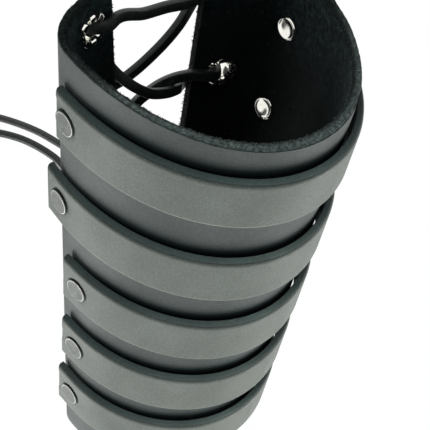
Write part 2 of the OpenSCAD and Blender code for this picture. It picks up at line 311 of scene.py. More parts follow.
# %% The free ends
FLOOR_Z = 1.75
END_LEFT = (
    (-22, 50, 26), (-18, 58, 18), (-11, 68, 9), (-2, 80, 4), (8, 92, FLOOR_Z),
    (17, 104, FLOOR_Z), (25, 117, FLOOR_Z), (31, 130, FLOOR_Z), (35, 142, FLOOR_Z),
    (36.5, 154, FLOOR_Z), (34, 166, FLOOR_Z), (29, 177.5, FLOOR_Z), (22.5, 186, FLOOR_Z),
    (13, 194, FLOOR_Z), (3, 201, FLOOR_Z), (-8, 206, FLOOR_Z), (-20, 209, FLOOR_Z),
    (-32, 210, FLOOR_Z),
)
END_RIGHT = (
    (30, 47, 26), (32, 57, 18), (35, 70, 9), (39, 83, 4), (43, 96, FLOOR_Z),
    (46, 109, FLOOR_Z), (48, 123, FLOOR_Z), (48.5, 138, FLOOR_Z), (46.5, 152, FLOOR_Z),
    (42.5, 167, FLOOR_Z), (39.5, 176, FLOOR_Z), (34.5, 186, FLOOR_Z), (28.5, 195, FLOOR_Z),
    (20, 204, FLOOR_Z), (11, 211, FLOOR_Z), (0, 217, FLOOR_Z), (-12, 221, FLOOR_Z),
    (-24, 223, FLOOR_Z),
)


def end_route(i, chosen):
    start = [passed(i, HALF_LEATHER + FREE_RISE), passed(i, HALF_LEATHER + FREE_LEAD)]
    return start + [np.array(p, float) for p in chosen]


ENDS = {"left": end_route(0, END_LEFT), "right": end_route(len(PASSES) - 1, END_RIGHT)}
print("free ends in mm:", {side: round(length_of(points)) for side, points in ENDS.items()})

# %% Draw a smooth line through a route
STEP = 0.8


def smooth_line(points):
    """A line through the points, whose slope at each is a mean of those before and after it."""
    points = [np.asarray(p, float) for p in points]
    gaps = [np.linalg.norm(b - a) for a, b in zip(points, points[1:])]
    slopes = [(b - a) / g for a, b, g in zip(points, points[1:], gaps)]
    tangents = [slopes[0]]
    for i in range(1, len(points) - 1):
        before = gaps[i - 1]
        after = gaps[i]
        tangents.append((slopes[i - 1] * after + slopes[i] * before) / (before + after))
    tangents.append(slopes[-1])
    line = [points[0]]
    for i, g in enumerate(gaps):
        count = max(2, round(g / STEP))
        for j in range(1, count + 1):
            t = j / count
            line.append(
                points[i] * (2 * t**3 - 3 * t**2 + 1) + tangents[i] * g * (t**3 - 2 * t**2 + t)
                + points[i + 1] * (3 * t**2 - 2 * t**3) + tangents[i + 1] * g * (t**3 - t**2)
            )
    return np.array(line)


# %% Carry the flat of the lace along the line
EASE = 12


def carried_flats(line, wanted):
    """The direction that the flat faces at each point: turned as little as the line allows, and
    led gently to the directions in wanted, which are pairs of a place on the line and a way."""
    ways = np.gradient(line, axis=0)
    ways /= np.linalg.norm(ways, axis=1)[:, None]
    flat = unit(wanted[0][1] - ways[0] * (ways[0] @ wanted[0][1]))
    flats = []
    for way in ways:
        flat = unit(flat - way * (way @ flat))
        flats.append(flat)
    flats = np.array(flats)
    places = []
    rolls = []
    last = 0.0
    for place, direction in wanted:
        way = ways[place]
        flat = flats[place]
        roll = math.atan2(np.cross(flat, direction) @ way, flat @ direction)
        roll = last + (roll - last + math.pi / 2) % math.pi - math.pi / 2
        places.append(place)
        rolls.append(roll)
        last = roll
    roll = np.interp(np.arange(len(line)), places, rolls)
    window = 2 * EASE + 1
    spread = np.ones(window) / window
    padded = np.concatenate((np.full(EASE, roll[0]), roll, np.full(EASE, roll[-1])))
    roll = np.convolve(padded, spread, mode="valid")[:, None]
    return ways, flats * np.cos(roll) + np.cross(ways, flats) * np.sin(roll)


# %% Sweep the strip
LACE_SHARP = 30
LACE_W = 3.7
LACE_T = 2.6
END_W = 3.3
END_T = 2.4
CORNER = 0.45


def strip_section(width, thick):
    """A rectangle with three points round each corner."""
    points = []
    for cx, cy, start in ((1, 1, 0), (-1, 1, 90), (-1, -1, 180), (1, -1, 270)):
        for j in range(3):
            a = math.radians(start + 45 * j)
            points.append((
                cx * (width / 2 - CORNER) + CORNER * math.cos(a),
                cy * (thick / 2 - CORNER) + CORNER * math.sin(a),
            ))
    return points


def sweep_strip(name, line, wanted, width, thick):
    ways, flats = carried_flats(line, wanted)
    section = strip_section(width, thick)
    count = len(section)
    verts = []
    faces = []
    for p, way, flat in zip(line, ways, flats):
        across = np.cross(way, flat)
        verts += [(p + across * a + flat * b) * MM for a, b in section]
    for i in range(len(line) - 1):
        for j in range(count):
            a = i * count + j
            b = i * count + (j + 1) % count
            faces.append((a, b, b + count, a + count))
    faces.append(tuple(range(count - 1, -1, -1)))
    faces.append(tuple(range(len(verts) - count, len(verts))))
    mesh = bpy.data.meshes.new(name)
    mesh.from_pydata([tuple(v) for v in verts], [], faces)
    strip_map = mesh.uv_layers.new(name="strip")
    far = np.concatenate(([0], np.cumsum(np.linalg.norm(np.diff(line, axis=0), axis=1))))
    for polygon in mesh.polygons:
        for loop in polygon.loop_indices:
            ring, spot = divmod(mesh.loops[loop].vertex_index, count)
            strip_map.data[loop].uv = (far[ring] * MM, spot / count)
    piece = bpy.data.objects.new(name, mesh)
    bpy.context.scene.collection.objects.link(piece)
    return piece


def only(piece):
    bpy.ops.object.select_all(action="DESELECT")
    piece.select_set(True)
    bpy.context.view_layer.objects.active = piece


def outwards_and_smooth(piece, sharp):
    """Turn all faces outwards, and smooth the edges that bend less than sharp degrees."""
    only(piece)
    bpy.ops.object.mode_set(mode="EDIT")
    bpy.ops.mesh.select_all(action="SELECT")
    bpy.ops.mesh.normals_make_consistent(inside=False)
    bpy.ops.object.mode_set(mode="OBJECT")
    bpy.ops.object.shade_smooth_by_angle(angle=math.radians(sharp))


def nearest(line, point):
    return int(np.argmin(np.linalg.norm(line - np.asarray(point), axis=1)))


# %% Make the crossings and the two free ends
UP = np.array((0.0, 0.0, 1.0))
OUT = np.array((0.0, 1.0, 0.0))
line = smooth_line(ROUTE)
wanted = [(0, UP)]
for i in range(len(STRANDS)):
    spots = strand(i)
    wanted.append((nearest(line, spots[0]), OUT))
    wanted.append((nearest(line, spots[-1]), OUT))
wanted.append((len(line) - 1, UP))
lace = sweep_strip("lace", line, wanted, LACE_W, LACE_T)
outwards_and_smooth(lace, LACE_SHARP)
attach(lace, "body")
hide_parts("lace_crossing")
lace_pieces = [lace]
for side, points in ENDS.items():
    line = smooth_line(points)
    end = sweep_strip("lace_tail_" + side, line, [(0, UP), (len(line) - 1, UP)], END_W, END_T)
    outwards_and_smooth(end, LACE_SHARP)
    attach(end, "body")
    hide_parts("lace_end_" + side)
    lace_pieces.append(end)
print("lace pieces:", [(p.name, len(p.data.polygons)) for p in lace_pieces])

# %% [markdown]
# ## Floor, background and light
# The photograph has a white background and soft light that reaches the leather from low in front,
# so the top edges of the bands are dark. The world is white only for rays that show it, which are
# those of the camera, of gloss and of glass, and its light on the leather is set apart.

# %% The floor and the world
FLOOR_W = 6
AMBIENT = 0.14
SKY = (0.74, 1.0, 1.0, 1)
WHITE = (1, 1, 1, 1)
bpy.ops.mesh.primitive_plane_add(size=FLOOR_W)
floor = bpy.context.object
floor.name = "floor"
floor.visible_shadow = False


def new_material(name):
    material = bpy.data.materials.new(name)
    material.use_nodes = True
    material.node_tree.nodes.clear()
    return material, material.node_tree


def add(tree, kind, **settings):
    made = tree.nodes.new(kind)
    for name, value in settings.items():
        if name in made.inputs:
            made.inputs[name].default_value = value
        else:
            setattr(made, name, value)
    return made


def seen_directly(tree):
    """1 for the rays of the camera, of gloss and of glass, and 0 for all others."""
    path = add(tree, "ShaderNodeLightPath")
    first = add(tree, "ShaderNodeMath", operation="MAXIMUM")
    second = add(tree, "ShaderNodeMath", operation="MAXIMUM")
    tree.links.new(path.outputs["Is Camera Ray"], first.inputs[0])
    tree.links.new(path.outputs["Is Glossy Ray"], first.inputs[1])
    tree.links.new(first.outputs[0], second.inputs[0])
    tree.links.new(path.outputs["Is Transmission Ray"], second.inputs[1])
    return second.outputs[0]


def mixed(tree, share, first, second, out):
    mix = add(tree, "ShaderNodeMixShader")
    tree.links.new(share, mix.inputs[0])
    tree.links.new(first.outputs[0], mix.inputs[1])
    tree.links.new(second.outputs[0], mix.inputs[2])
    tree.links.new(mix.outputs[0], out.inputs["Surface"])


world = bpy.data.worlds.new("studio")
world.use_nodes = True
world.node_tree.nodes.clear()
bpy.context.scene.world = world
tree = world.node_tree
mixed(
    tree, seen_directly(tree),
    add(tree, "ShaderNodeBackground", Color=SKY, Strength=AMBIENT),
    add(tree, "ShaderNodeBackground", Color=WHITE, Strength=1.0),
    add(tree, "ShaderNodeOutputWorld"),
)
print("world light:", AMBIENT)

# %% The floor's paper
GLOW = 1.16
GLOW_SHARE = 0.84
floor_paper, tree = new_material("floor_paper")
paper = add(tree, "ShaderNodeBsdfDiffuse", Color=(0.9, 0.9, 0.9, 1))
glow = add(tree, "ShaderNodeEmission", Color=WHITE, Strength=GLOW)
lit = add(tree, "ShaderNodeMixShader", Fac=GLOW_SHARE)
tree.links.new(paper.outputs[0], lit.inputs[1])
tree.links.new(glow.outputs[0], lit.inputs[2])
mixed(tree, seen_directly(tree), paper, lit, add(tree, "ShaderNodeOutputMaterial"))
floor.data.materials.append(floor_paper)
print("materials on the floor:", len(floor.data.materials))

# %% [markdown]
# Three soft lamps stand well below the level of the table: one far to the left, one below the
# camera and one to the right. They leave the tops of the bands dark, as the photograph shows
# them. A weak fourth lamp stands behind. The floor throws no shadow, so the light from below its
# level gets by.

# %% The lamps
AIM = Vector((0, 0, 0.1))
LAMP_DISTANCE = 1.15
LAMPS = (
    ("left_lamp", -120, -46, 0.6, 10),
    ("low_lamp", -45, -47, 0.65, 9.8),
    ("right_lamp", 40, -38, 0.6, 14),
    ("back_lamp", 165, 15, 0.8, 3),
)


def soft_lamp(name, azimuth, elevation, size, watts):
    """Azimuth 0 is in front of the gauntlet and 90 is to its right, as for the turns."""
    across = math.radians(azimuth)
    up = math.radians(elevation)
    way = Vector((math.cos(up) * math.sin(across), -math.cos(up) * math.cos(across), math.sin(up)))
    bpy.ops.object.select_all(action="DESELECT")
    bpy.ops.object.light_add(type="AREA", location=AIM + way * LAMP_DISTANCE)
    lamp = bpy.context.object
    lamp.name = name
    lamp.data.size = size
    lamp.data.energy = watts
    lamp.visible_camera = False
    lamp.rotation_euler = (-way).to_track_quat("-Z", "Y").to_euler()


for settings in LAMPS:
    soft_lamp(*settings)

# %% [markdown]
# ## The leather
# The grain side was dyed black and buffed, so it is a matt grey-black with a fine pebble and
# faint clouds. The flesh side is near-black suede with lint in it, and the cut edges are paler
# and fibrous. Each is noise on the object's own coordinates, at the leather's real scale.

# %% Parts that the materials share
MIX_A = 6
MIX_B = 7
MIX_RESULT = 2


def coordinates(tree):
    return add(tree, "ShaderNodeTexCoord").outputs["Object"]


def noise(tree, at, scale, detail=3.0, rough=0.55):
    made = add(tree, "ShaderNodeTexNoise", Scale=scale, Detail=detail, Roughness=rough)
    tree.links.new(at, made.inputs["Vector"])
    return made.outputs["Fac"]


def tones(tree, value, *stops):
    """A colour ramp. Each stop is a value and a colour."""
    ramp = add(tree, "ShaderNodeValToRGB")
    tree.links.new(value, ramp.inputs[0])
    ramp.color_ramp.elements[0].position = stops[0][0]
    ramp.color_ramp.elements[-1].position = stops[-1][0]
    for position, _ in stops[1:-1]:
        ramp.color_ramp.elements.new(position)
    for element, (_, colour) in zip(ramp.color_ramp.elements, stops):
        element.color = (*colour, 1)
    return ramp.outputs[0]


def tinted(tree, kind, share, a, b):
    """A mix of two colours. Its colour sockets share their names with others, so they go by place."""
    mix = add(tree, "ShaderNodeMix", data_type="RGBA", blend_type=kind)
    mix.inputs[0].default_value = share
    tree.links.new(a, mix.inputs[MIX_A])
    tree.links.new(b, mix.inputs[MIX_B])
    return mix.outputs[MIX_RESULT]


def finish_skin(tree, colour, height, rough, bump_mm, strength, **shader_values):
    shader = add(tree, "ShaderNodeBsdfPrincipled", **shader_values)
    tree.links.new(colour, shader.inputs["Base Color"])
    if rough is not None:
        tree.links.new(rough, shader.inputs["Roughness"])
    bump = add(tree, "ShaderNodeBump", Strength=strength, Distance=bump_mm * MM)
    tree.links.new(height, bump.inputs["Height"])
    tree.links.new(bump.outputs[0], shader.inputs["Normal"])
    out = add(tree, "ShaderNodeOutputMaterial")
    tree.links.new(shader.outputs[0], out.inputs["Surface"])


def grey(value, tint=(1, 1, 1)):
    return tuple(value * t for t in tint)


def ranged(tree, value, low, high, start=0.0, end=1.0):
    """Move a value that runs from start to end on to the range from low to high."""
    made = add(tree, "ShaderNodeMapRange")
    for name, number in zip(("From Min", "From Max", "To Min", "To Max"), (start, end, low, high)):
        made.inputs[name].default_value = number
    tree.links.new(value, made.inputs["Value"])
    return made.outputs[0]


def by_attribute(tree, colour, label, reach, *stops):
    """Multiply a colour by tones that follow an attribute of the mesh over a reach of values."""
    kept = add(tree, "ShaderNodeAttribute", attribute_name=label)
    share = ranged(tree, kept.outputs["Fac"], 0, 1, *reach)
    return tinted(tree, "MULTIPLY", 1.0, colour, tones(tree, share, *stops))


# %% [markdown]
# Some tones follow a piece's own attributes: painted shade above each band, a painted highlight
# along the bands' lower edges, and painted light on the top edges, brightest round the front and
# darkest towards the right end. They stand in for light and shade that these lamps don't give.

# %% Grain leather
# Painted shade: the body is painted darker above each band, fading upwards.
CREASE_SHADE = (
    "crease", (0, 1), (0.0, grey(1)), (0.35, (0.8, 0.84, 0.84)), (0.7, (0.3, 0.36, 0.37)),
    (1.0, (0.08, 0.11, 0.12)),
)
# Painted highlight: a pale line along the lower edge of each band.
LOWER_EDGE_HIGHLIGHT = ("up", (-1, -0.92), (0.0, (2.7, 2.6, 2.4)), (0.5, (1.7, 1.7, 1.6)), (1.0, grey(1)))
# Painted light on the bands' top edges: brightest round the front, dark towards the right end.
TOP_EDGE_LIGHT = (
    "along", (-1, 1), (0.0, grey(1.1)), (0.3, grey(1.9)), (0.48, (2.7, 2.65, 2.6)),
    (0.6, grey(1.2)), (0.7, (0.3, 0.32, 0.32)), (1.0, (0.2, 0.22, 0.22)),
)


def grain_leather(name, tone, tint, painted_light_and_wear):
    """The last argument says how the colour follows an attribute of the mesh, as by_attribute takes
    it: the painted light and shade of each leather.
    """
    material, tree = new_material(name)
    at = coordinates(tree)
    clouds = tones(
        tree, noise(tree, at, 55, 4),
        (0.3, grey(tone * 0.86, tint)), (0.55, grey(tone, tint)), (0.75, grey(tone * 1.12, tint)),
    )
    specks = tones(tree, noise(tree, at, 1300, 3, 0.7), (0.3, grey(0.8)), (0.7, grey(1.15)))
    colour = by_attribute(tree, tinted(tree, "MULTIPLY", 1.0, clouds, specks), *painted_light_and_wear)
    pebble = add(tree, "ShaderNodeTexVoronoi", feature="SMOOTH_F1", Scale=1500, Smoothness=0.6)
    tree.links.new(at, pebble.inputs["Vector"])
    height = add(tree, "ShaderNodeMath", operation="ADD")
    tree.links.new(pebble.outputs["Distance"], height.inputs[0])
    tree.links.new(noise(tree, at, 420, 4), height.inputs[1])
    rough = ranged(tree, noise(tree, at, 90), 0.5, 0.66)
    finish_skin(tree, colour, height.outputs[0], rough, 0.12, 0.5, **{"Specular IOR Level": 0.12})
    return material


body_grain = grain_leather("body_grain", 0.095, (0.94, 1.05, 1.01), CREASE_SHADE)
band_grain = grain_leather("band_grain", 0.175, (0.975, 1.06, 0.955), LOWER_EDGE_HIGHLIGHT)
print("grain leathers:", body_grain.name, band_grain.name)

# %% Suede and cut edges
# Painted light on the cut edges: pale round the front and dark towards the sides.
LIT_FRONT_SHADED_SIDES = (
    "along", (-1, 1), (0.24, (0.12, 0.14, 0.14)), (0.29, (0.9, 0.92, 0.92)), (0.5, grey(1)),
    (0.68, (0.5, 0.52, 0.52)), (0.74, (0.12, 0.14, 0.14)),
)
# Partly painted shade: the cut edge darkens towards the flesh side, more so towards the sides.
DARK_INSIDE = (
    "inner", (0.7, 1.2), (0.0, grey(1)), (0.5, (0.3, 0.32, 0.32)), (1.0, (0.06, 0.08, 0.08)),
)
EDGE_TINT = (1, 1.02, 0.97)


def suede(name):
    """Near-black nap with lint in it, with painted light that makes it paler towards the elbow edge.
    """
    material, tree = new_material(name)
    at = coordinates(tree)
    nap = tones(
        tree, noise(tree, at, 300, 5, 0.7),
        (0.35, (0.003, 0.004, 0.004)), (0.6, (0.008, 0.012, 0.013)), (0.8, (0.022, 0.032, 0.034)),
    )
    # Painted light: the paler nap near the elbow edge.
    painted_lit_nap = tones(
        tree, noise(tree, at, 420, 5, 0.75),
        (0.4, (0.002, 0.004, 0.004)), (0.56, (0.05, 0.075, 0.08)), (0.72, (0.16, 0.21, 0.215)),
    )
    up = add(tree, "ShaderNodeAttribute", attribute_name="up")
    near_top = tinted(tree, "MIX", 0.0, nap, painted_lit_nap)
    tree.links.new(ranged(tree, up.outputs["Fac"], 0, 0.9, 0.55, 1.0), near_top.node.inputs[0])
    lint = tones(tree, noise(tree, at, 700, 1), (0.76, (0, 0, 0)), (0.8, (0.12, 0.13, 0.12)))
    colour = tinted(tree, "ADD", 1.0, near_top, lint)
    values = {
        "Roughness": 0.95, "Specular IOR Level": 0.1,
        "Sheen Weight": 0.12, "Sheen Roughness": 0.45,
    }
    finish_skin(tree, colour, noise(tree, at, 900, 4, 0.7), None, 0.3, 0.8, **values)
    return material


def cut_edge(name, tone):
    """A fibrous edge, with painted light that makes it paler round the front than at the sides, and
    dark towards the flesh side, with painted shade that darkens it more towards the sides.
    """
    material, tree = new_material(name)
    at = coordinates(tree)
    fibres = tones(
        tree, noise(tree, at, 900, 5, 0.75),
        (0.32, grey(tone * 0.2, EDGE_TINT)), (0.5, grey(tone, EDGE_TINT)),
        (0.7, grey(tone * 2.4, EDGE_TINT)),
    )
    fibres = by_attribute(tree, fibres, *LIT_FRONT_SHADED_SIDES)
    fibres = by_attribute(tree, fibres, *DARK_INSIDE)
    values = {"Roughness": 0.9, "Specular IOR Level": 0.2}
    finish_skin(tree, fibres, noise(tree, at, 800, 5, 0.75), None, 0.4, 1.0, **values)
    return material


flesh = suede("flesh_suede")
rim_edge = cut_edge("rim_cut_edge", 0.42)
flap_edge = cut_edge("flap_cut_edge", 0.007)
band_edge = grain_leather("band_cut_edge", 0.2, (0.93, 1.05, 1.01), TOP_EDGE_LIGHT)
print("flesh side and edges:", [m.name for m in (flesh, rim_edge, flap_edge, band_edge)])

# %% [markdown]
# ## The body
# The body starts as a flat grid, as a hide does, and every corner of the grid is laid on the
# sleeve's shape. Holes for the eyelets are cut while it is one layer thick, then Solidify gives
# the leather its thickness, with its own material for the flesh side and the cut edges, and
# Bevel rounds the edges a little. The elbow edge was cut at a slant, so one of its corners is
# moved down before it is rounded: the outer one round the front and the inner one at the sides.

# %% Lay a grid on a shape
ON_EDGE = 0.999
LEATHER_SHARP = 50


def laid_grid(name, columns, rows, place):
    """A flat grid laid on a shape. Each corner keeps its place on the grid as two attributes."""
    bpy.ops.object.select_all(action="DESELECT")
    bpy.ops.mesh.primitive_grid_add(x_subdivisions=columns, y_subdivisions=rows, size=2)
    piece = bpy.context.object
    piece.name = name
    flat = [vertex.co.copy() for vertex in piece.data.vertices]
    for axis, label in enumerate(("along", "up")):
        kept = piece.data.attributes.new(label, "FLOAT", "POINT")
        for spot, corner in enumerate(flat):
            kept.data[spot].value = corner[axis]
    for vertex in piece.data.vertices:
        vertex.co = Vector(place(vertex.co.x, vertex.co.y)) * MM
    return piece


def grid_places(piece):
    """Each corner's place on the flat grid: across and upwards, both from -1 to 1."""
    kept = piece.data.attributes
    return [[spot.value for spot in kept[label].data] for label in ("along", "up")]


def apply_all(piece):
    only(piece)
    for modifier in list(piece.modifiers):
        bpy.ops.object.modifier_apply(modifier=modifier.name)


# %% Thicken a laid grid and round its edges
def add_wall(piece, thick):
    """Solidify inwards. The corners on the outer side come first, and their number is returned."""
    outer = len(piece.data.vertices)
    wall = piece.modifiers.new("wall", "SOLIDIFY")
    wall.thickness = thick * MM
    wall.offset = -1
    wall.use_even_offset = True
    wall.material_offset = 1
    wall.material_offset_rim = 2
    apply_all(piece)
    return outer


def round_edges(piece, outer, widest, sizes):
    """Bevel the long edges. Sizes has each edge's share of the widest rounding: of the outer top,
    the inner top, the outer bottom and ends, and the inner bottom and ends."""
    mesh = piece.data
    along, up = grid_places(piece)
    weights = mesh.attributes.new("bevel_weight_edge", "FLOAT", "EDGE")
    for edge in mesh.edges:
        a, b = edge.vertices
        if (a < outer) != (b < outer):
            continue
        top = min(up[a], up[b]) > ON_EDGE
        bottom = max(up[a], up[b]) < -ON_EDGE
        end = min(abs(along[a]), abs(along[b])) > ON_EDGE
        if top:
            weights.data[edge.index].value = sizes[0 if a < outer else 1]
        elif bottom or end:
            weights.data[edge.index].value = sizes[2 if a < outer else 3]
    bevel = piece.modifiers.new("edges", "BEVEL")
    bevel.width = widest * MM
    bevel.segments = 4
    bevel.limit_method = "WEIGHT"
    bevel.use_clamp_overlap = False
    bevel.material = -1
    apply_all(piece)
    bpy.ops.object.shade_smooth_by_angle(angle=math.radians(LEATHER_SHARP))


# %% Lay the body's grid
BODY_COLUMNS = 220
BODY_ROWS = 110
CROWDING = 0.06


def height_share(v):
    """Rows lie closer together towards the elbow edge, which is seen from nearest."""
    share = (v + 1) / 2
    return share + CROWDING * math.sin(math.pi * share)


def body_place(u, v):
    """Rows are level at the wrist, and at the elbow they rise towards the back with the edge."""
    share = height_share(v)
    turn = u * flap_turn(share * BODY_H)
    z = share * (BODY_H + rise(turn))
    return skin(turn, z - rise(turn), HALF_LEATHER)


body = laid_grid("body_leather", BODY_COLUMNS, BODY_ROWS, body_place)
print("body grid:", len(body.data.vertices), "corners")

# %% Cut the eyelet holes
BORE = 7.0
METAL = 0.45
BARREL_R = BORE / 2 + METAL
HOLE_DEPTH = 8
HOLE_RIM = 1.6


def fitting_matrix(turn, h):
    """The place of a fitting: its own Z points straight out of the leather."""
    n = outwards(turn, h)
    slope = (outline(turn, h + 1) - outline(turn, h - 1)) / 2
    lean = math.atan(n @ slope)
    spin = Matrix.Rotation(math.atan2(n[1], n[0]), 4, "Z")
    tip = Matrix.Rotation(math.pi / 2 + lean, 4, "Y")
    return Matrix.Translation(Vector(skin(turn, h, 0)) * MM) @ spin @ tip


def eyelet_matrix(side, k):
    return fitting_matrix(side * eyelet_turn(k), eyelet_h(k))


def rivet_matrix(side, k):
    return fitting_matrix(side * RIVET_TURNS[k], BAND_TOPS[k] - BAND_W / 2)


def cut_round_hole(piece, matrix, radius):
    """Take out the faces inside the radius and move the corners round the hole on to it."""
    into = matrix.inverted()
    mesh = bmesh.new()
    mesh.from_mesh(piece.data)
    inside = [
        f for f in mesh.faces
        if abs((into @ f.calc_center_median()).z) < HOLE_DEPTH * MM
        and (into @ f.calc_center_median()).xy.length < radius * MM
    ]
    bmesh.ops.delete(mesh, geom=inside, context="FACES")
    for vertex in mesh.verts:
        p = into @ vertex.co
        near = abs(p.z) < HOLE_DEPTH * MM and p.xy.length < radius * HOLE_RIM * MM
        if vertex.is_boundary and near:
            p.xy = p.xy.normalized() * radius * MM
            vertex.co = matrix @ p
    mesh.to_mesh(piece.data)
    mesh.free()


for side in SIDES.values():
    for k in ROWS:
        cut_round_hole(body, eyelet_matrix(side, k), BARREL_R + HOLE_CLEAR)
print("body with holes:", len(body.data.polygons), "faces")

# %% Paint shade on the body above each band
CREASE_H = (8, 8, 8.5, 9.5, 13)
CREASE_FALL = 1.3
COVERED_H = 8
RIVET_MARGIN = 1
RIVET_FADE = 9


def painted_crease_shade(turn, h):
    """How much painted shade the body gets over a band: 1 there, fading upwards."""
    dark = 0
    for k in ROWS:
        above = h - BAND_TOPS[k] - BAND_ARCH * facing(turn)
        inside = min(1, max(0, (RIVET_TURNS[k] - RIVET_MARGIN - abs(turn)) / RIVET_FADE))
        if -COVERED_H < above < CREASE_H[k]:
            remaining = 1 - max(above, 0) / CREASE_H[k]
            dark = max(dark, inside * remaining**CREASE_FALL)
    return dark


# The painted shade above the bands, stored as the crease attribute that body_grain reads.
painted_shade = []
for u, v in zip(*grid_places(body)):
    h = height_share(v) * BODY_H
    painted_shade.append(painted_crease_shade(u * flap_turn(h), h))
body.data.attributes.new("crease", "FLOAT", "POINT").data.foreach_set("value", painted_shade)
print("corners in a crease:", sum(value > 0 for value in painted_shade))

# %% Give the body its thickness
EDGE_SLOPE = 0.8
SIDE_SLOPE = 1.2
FRONT_DROP = 0.5
RAGGED = 0.22
EDGE_ROUND = 0.9
EDGE_SHARES = (1, 0.4, 0.6, 0.5)
# The inner attribute is painted shade on the cut edge, deepening towards the sides, most on the
# right.
DARK_LEFT = 0.5
DARK_RIGHT = 1.6
RIM_SLOT = 2
FLAP_SLOT = 3
NEAR_FLAP = 0.99
random.seed(2)
for material in (body_grain, flesh, rim_edge, flap_edge):
    body.data.materials.append(material)
outer = add_wall(body, LEATHER)
along, up = grid_places(body)
inner = [0.0] * outer + [1 + max(-DARK_LEFT * u, DARK_RIGHT * u) for u in along[outer:]]
body.data.attributes.new("inner", "FLOAT", "POINT").data.foreach_set("value", inner)
for spot, vertex in enumerate(body.data.vertices):
    if up[spot] > ON_EDGE:
        front = facing(along[spot] * flap_turn(BODY_H))
        slope = EDGE_SLOPE * front**3 if spot < outer else SIDE_SLOPE * (1 - front**3)
        vertex.co.z -= (slope + FRONT_DROP * front + random.uniform(-RAGGED, RAGGED)) * MM
round_edges(body, outer, EDGE_ROUND, EDGE_SHARES)
along, up = grid_places(body)
for polygon in body.data.polygons:
    on_flap = min(abs(along[v]) for v in polygon.vertices) > NEAR_FLAP
    if on_flap and polygon.material_index == RIM_SLOT:
        polygon.material_index = FLAP_SLOT
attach(body, "body")
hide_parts("body_shell")
print("body:", len(body.data.polygons), "faces, materials", len(body.data.materials))

# %% [markdown]
# ## The bands
# Each band is a strap laid on the body, and past its two rivets it runs on straight, because
# leather doesn't bend at its cut end. The rivets were set hard, so the leather is pressed down
# under each cap and swells a little round it. The top outer edge was rubbed round.

# %% Press the leather down under the rivets
DENT = 0.2
DENT_R = 5.0
DENT_EDGE = (-0.25, 0.45)
SWELL = 0.05
SWELL_RISE = 0.9
SWELL_FALL = (6, 8)


def smooth_step(value, low, high):
    t = min(1, max(0, (value - low) / (high - low)))
    return t * t * (3 - 2 * t)


def pressed(radius):
    """How far the leather stands up at this distance from a rivet's middle, in mm."""
    hollow = -DENT * (1 - smooth_step(radius, DENT_R + DENT_EDGE[0], DENT_R + DENT_EDGE[1]))
    swell = SWELL * smooth_step(radius, DENT_R, DENT_R + SWELL_RISE)
    return hollow + swell * (1 - smooth_step(radius, *SWELL_FALL))


# %% Make the bands
BAND_COLUMNS = 210
BAND_ROWS = 22
BAND_ROUND = 2.2
BAND_SHARES = (1, 0.15, 0.25, 0.15)
TOP_ROW = BAND_ROUND + 0.3
STRAP_TAIL = 7.5
FIRST_TAIL = 5.2
NEAR_END = 0.8


def row_height(v):
    """Rows are even, but for the top one, which is tall enough for the rounded edge."""
    row = (v + 1) / 2 * BAND_ROWS
    even = BAND_ROWS - 1
    return min(row, even) * (BAND_W - TOP_ROW) / even + max(row - even, 0) * TOP_ROW


def band_place(k):
    """The rule that lays band k: round the body as far as the rivets, then straight on."""
    whole = RIVET_TURNS[k]
    edge = np.linalg.norm(skin(whole, BAND_TOPS[k], 0) - skin(whole - 1, BAND_TOPS[k], 0))
    share = STRAP_TAIL / edge / whole
    tails = {side: (STRAP_TAIL, share) for side in SIDES.values()}
    if k == 0:
        tails[SIDES["left"]] = (FIRST_TAIL, share * FIRST_TAIL / STRAP_TAIL)
    rivets = [rivet_matrix(side, k).inverted() for side in SIDES.values()]

    def place(u, v):
        tail, tail_share = tails[1 if u > 0 else -1]
        reach = u * (1 + tail_share)
        turn = max(-1, min(1, reach)) * whole
        h = BAND_TOPS[k] - BAND_W + row_height(v) + BAND_ARCH * facing(turn)
        p = skin(turn, h, stand_off(turn) + BAND_T)
        over = abs(reach) - 1
        if over > 0:
            side = math.copysign(1, reach)
            before = skin(turn - side, h, stand_off(turn) + BAND_T)
            p = p + unit(p - before) * over / tail_share * tail
        radius = min((into @ (Vector(p) * MM)).xy.length / MM for into in rivets)
        if radius < SWELL_FALL[1] and abs(reach) > NEAR_END:
            p[:2] += outwards(turn, h) * pressed(radius)
        return p

    return place


for k in ROWS:
    band = laid_grid(f"band_leather_{k + 1}", BAND_COLUMNS, BAND_ROWS, band_place(k))
    for material in (band_grain, flesh, band_edge):
        band.data.materials.append(material)
    outer = add_wall(band, BAND_T)
    round_edges(band, outer, BAND_ROUND, BAND_SHARES)
    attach(band, f"band_{k + 1}")
    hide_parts(f"lame_{k + 1}")
print("bands made:", len(ROWS))

# %% [markdown]
# ## Metal
# The rivets' outer caps are dull gunmetal, and the inner caps and the eyelets are bright nickel.
# Caps and eyelets are turned: a profile is drawn from the axis out and the Screw modifier spins it.

# %% Metals
def metal(name, light, dark, rough, painted_light_and_wear):
    material, tree = new_material(name)
    at = coordinates(tree)
    colour = tones(tree, noise(tree, at, 500, 3, 0.5), (0.35, dark), (0.65, light))
    roughness = ranged(tree, noise(tree, at, 300, 3), rough, rough + painted_light_and_wear, 0.3, 0.7)
    finish_skin(tree, colour, noise(tree, at, 900, 3), roughness, 0.01, 0.15, Metallic=1.0)
    return material


gunmetal = metal("gunmetal", (0.09, 0.098, 0.09), (0.062, 0.068, 0.064), 0.25, 0.12)
